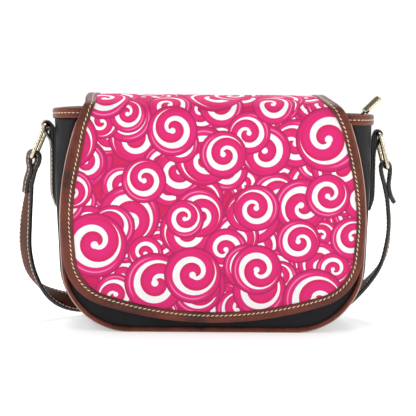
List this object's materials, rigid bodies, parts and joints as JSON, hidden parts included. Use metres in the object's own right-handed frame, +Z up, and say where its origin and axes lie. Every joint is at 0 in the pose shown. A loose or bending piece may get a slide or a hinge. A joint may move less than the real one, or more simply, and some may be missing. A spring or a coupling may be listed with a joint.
{
  "type": "crossbody purse",
  "caption": "Flap-over shoulder bag: printed canvas flap with a leather edge band over a zipped, piped body, with ring-hung strap laid behind.",
  "frame": {"origin": "centre of the base, on the surface that the bag stands on", "axes": "+X along the bag to the right as the flap is faced, -Y out of the flap, +Z up"},
  "size_m": [0.3515, 0.1723, 0.2158],
  "materials": {
    "black_leather": "matt fine-grained black leather",
    "brown_leather": "semi-gloss red-brown leather",
    "strap_leather": "semi-gloss brown leather with black painted edges and a dark lining",
    "printed_canvas": "printed fine-weave canvas, pink swirls on white",
    "lining_cloth": "plain woven lining",
    "zip_tape": "woven black tape",
    "antique_brass": "light antique brass",
    "base_board": "stiff board",
    "thread": "thick waxed cream thread"
  },
  "bodies": {
    "bag": {"front_panel": "black_leather", "back_panel": "black_leather", "gusset": "black_leather", "front_piping": "brown_leather", "back_piping": "brown_leather", "base_board": "base_board", "lining": "lining_cloth", "slip_pocket": "lining_cloth", "pocket_trim": "brown_leather", "top_binding": "brown_leather", "top_panel_front": "black_leather", "top_panel_back": "black_leather", "zip_tape_front": "zip_tape", "zip_tape_back": "zip_tape", "zip_teeth_front": "antique_brass", "zip_teeth_back": "antique_brass", "zip_end_left": "brown_leather", "zip_end_right": "brown_leather", "zip_stop_left": "antique_brass", "zip_stop_right": "antique_brass", "tab_left": "brown_leather", "tab_right": "brown_leather", "snap_socket": "antique_brass", "snap_washer": "antique_brass", "flap_anchor": "brown_leather", "strap_middle": "strap_leather"},
    "flap_top": {"flap_top_print": "printed_canvas", "flap_top_lining": "lining_cloth", "flap_top_trim": "brown_leather"},
    "flap_front": {"flap_print": "printed_canvas", "flap_lining": "lining_cloth", "flap_trim": "brown_leather", "snap_stud": "antique_brass"},
    "slider": {"zip_slider": "antique_brass", "zip_bail": "antique_brass"},
    "pull": {"pull_link": "brown_leather", "pull_tag": "antique_brass"},
    "ring_left": {"ring_left": "antique_brass"},
    "ring_right": {"ring_right": "antique_brass"},
    "strap_left": {"strap_left": "strap_leather"},
    "strap_right": {"strap_right": "strap_leather"}
  },
  "joints": [
    {"name": "flap_top_hinge", "type": "hinge", "parent": "bag", "child": "flap_top", "pos_m": [0, 0.04135, 0.2035], "axis": [-1, 0, 0], "range_deg": [0, 115]},
    {"name": "flap_front_hinge", "type": "hinge", "parent": "flap_top", "child": "flap_front", "pos_m": [0, -0.0445, 0.203], "axis": [-1, 0, 0], "range_deg": [0, 85]},
    {"name": "zip_slide", "type": "slide", "parent": "bag", "child": "slider", "axis": [1, 0, 0], "range_m": [-0.25, 0]},
    {"name": "pull_swing", "type": "hinge", "parent": "slider", "child": "pull", "pos_m": [0.1336, 0, 0.194], "axis": [0, -1, 0], "range_deg": [-4, 75]},
    {"name": "ring_left_swing", "type": "hinge", "parent": "bag", "child": "ring_left", "pos_m": [-0.1546, 0, 0.1862], "axis": [0, 1, 0], "range_deg": [-6, 0]},
    {"name": "strap_left_lean", "type": "hinge", "parent": "bag", "child": "strap_left", "pos_m": [-0.1715, 0.009, 0.046], "axis": [0, 1, 0], "range_deg": [0, 2]},
    {"name": "ring_right_swing", "type": "hinge", "parent": "bag", "child": "ring_right", "pos_m": [0.153, 0, 0.18], "axis": [0, 1, 0], "range_deg": [0, 5]},
    {"name": "strap_right_lean", "type": "hinge", "parent": "bag", "child": "strap_right", "pos_m": [0.1608, 0.007, 0.058], "axis": [0, 1, 0], "range_deg": [-1.8, 0]}
  ],
  "couplings": [
    {"joint": "strap_left_lean", "follows": "ring_left_swing", "ratio": -0.2608},
    {"joint": "strap_right_lean", "follows": "ring_right_swing", "ratio": -0.3333}
  ]
}
